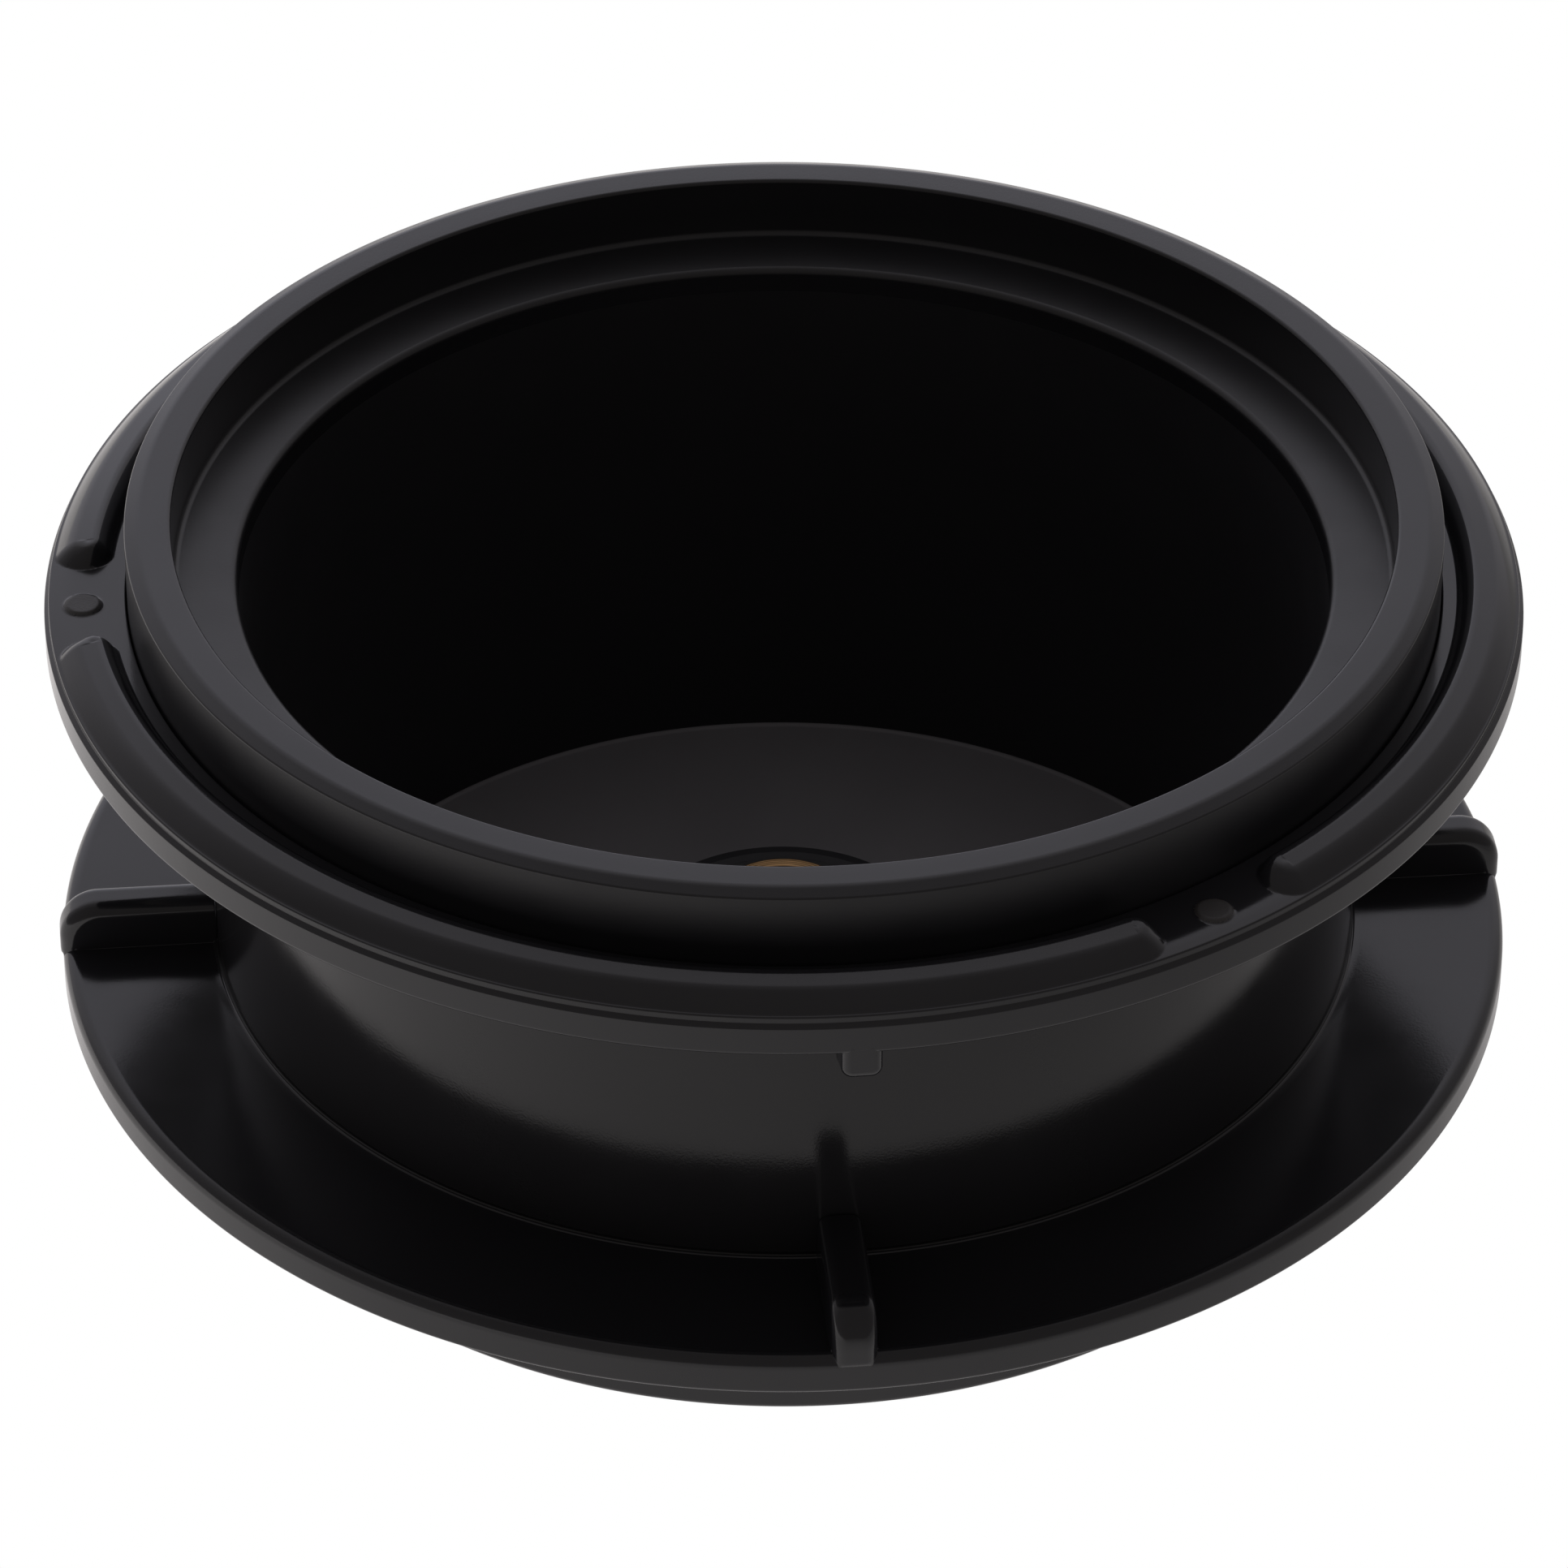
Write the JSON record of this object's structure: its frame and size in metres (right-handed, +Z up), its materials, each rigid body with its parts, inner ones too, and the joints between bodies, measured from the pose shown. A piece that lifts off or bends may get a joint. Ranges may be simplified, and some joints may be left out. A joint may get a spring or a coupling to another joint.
{
  "type": "food waste disposer grinding bowl",
  "caption": "Black moulded grinding bowl with a turning ramp lock ring under its rim, a ribbed base flange and a short shaft in a brass bush in its floor.",
  "frame": {"origin": "centre of the underside, on the bowl's axis", "axes": "+Z up along the bowl's axis to the rim, -Y towards the finger tab's side"},
  "size_m": [0.1144, 0.1144, 0.052],
  "materials": {
    "black_plastic": "semi-gloss moulded black",
    "ring_plastic": "glossy moulded black",
    "brass": "turned brass",
    "steel": "turned stainless steel",
    "spring_steel": "phosphated spring steel",
    "rubber": "black nitrile",
    "slip_plastic": "natural nylon"
  },
  "bodies": {
    "bowl": {"chamber_cup": "black_plastic", "ring_slip_washer": "slip_plastic", "ring_snap_ring": "spring_steel", "base_flange": "black_plastic", "flange_gasket": "rubber", "clamp_nut": "black_plastic", "shaft_bush": "brass", "bush_gasket": "rubber", "bush_tab_washer": "steel", "bush_nut": "brass", "seal_case": "steel", "seal_lip": "rubber", "seal_spring": "steel"},
    "lock": {"lock_ring": "ring_plastic"},
    "shaft": {"drive_shaft": "steel", "thrust_washer_top": "steel", "thrust_washer_bottom": "steel", "shaft_circlips": "spring_steel"}
  },
  "joints": [
    {"name": "lock_turn", "type": "hinge", "parent": "bowl", "child": "lock", "pos_m": [0, 0, 0.0435], "axis": [0, 0, 1], "range_deg": [0, 40]},
    {"name": "shaft_spin", "type": "hinge", "parent": "bowl", "child": "shaft", "pos_m": [0, 0, 0.008], "axis": [0, 0, 1], "continuous": true}
  ]
}
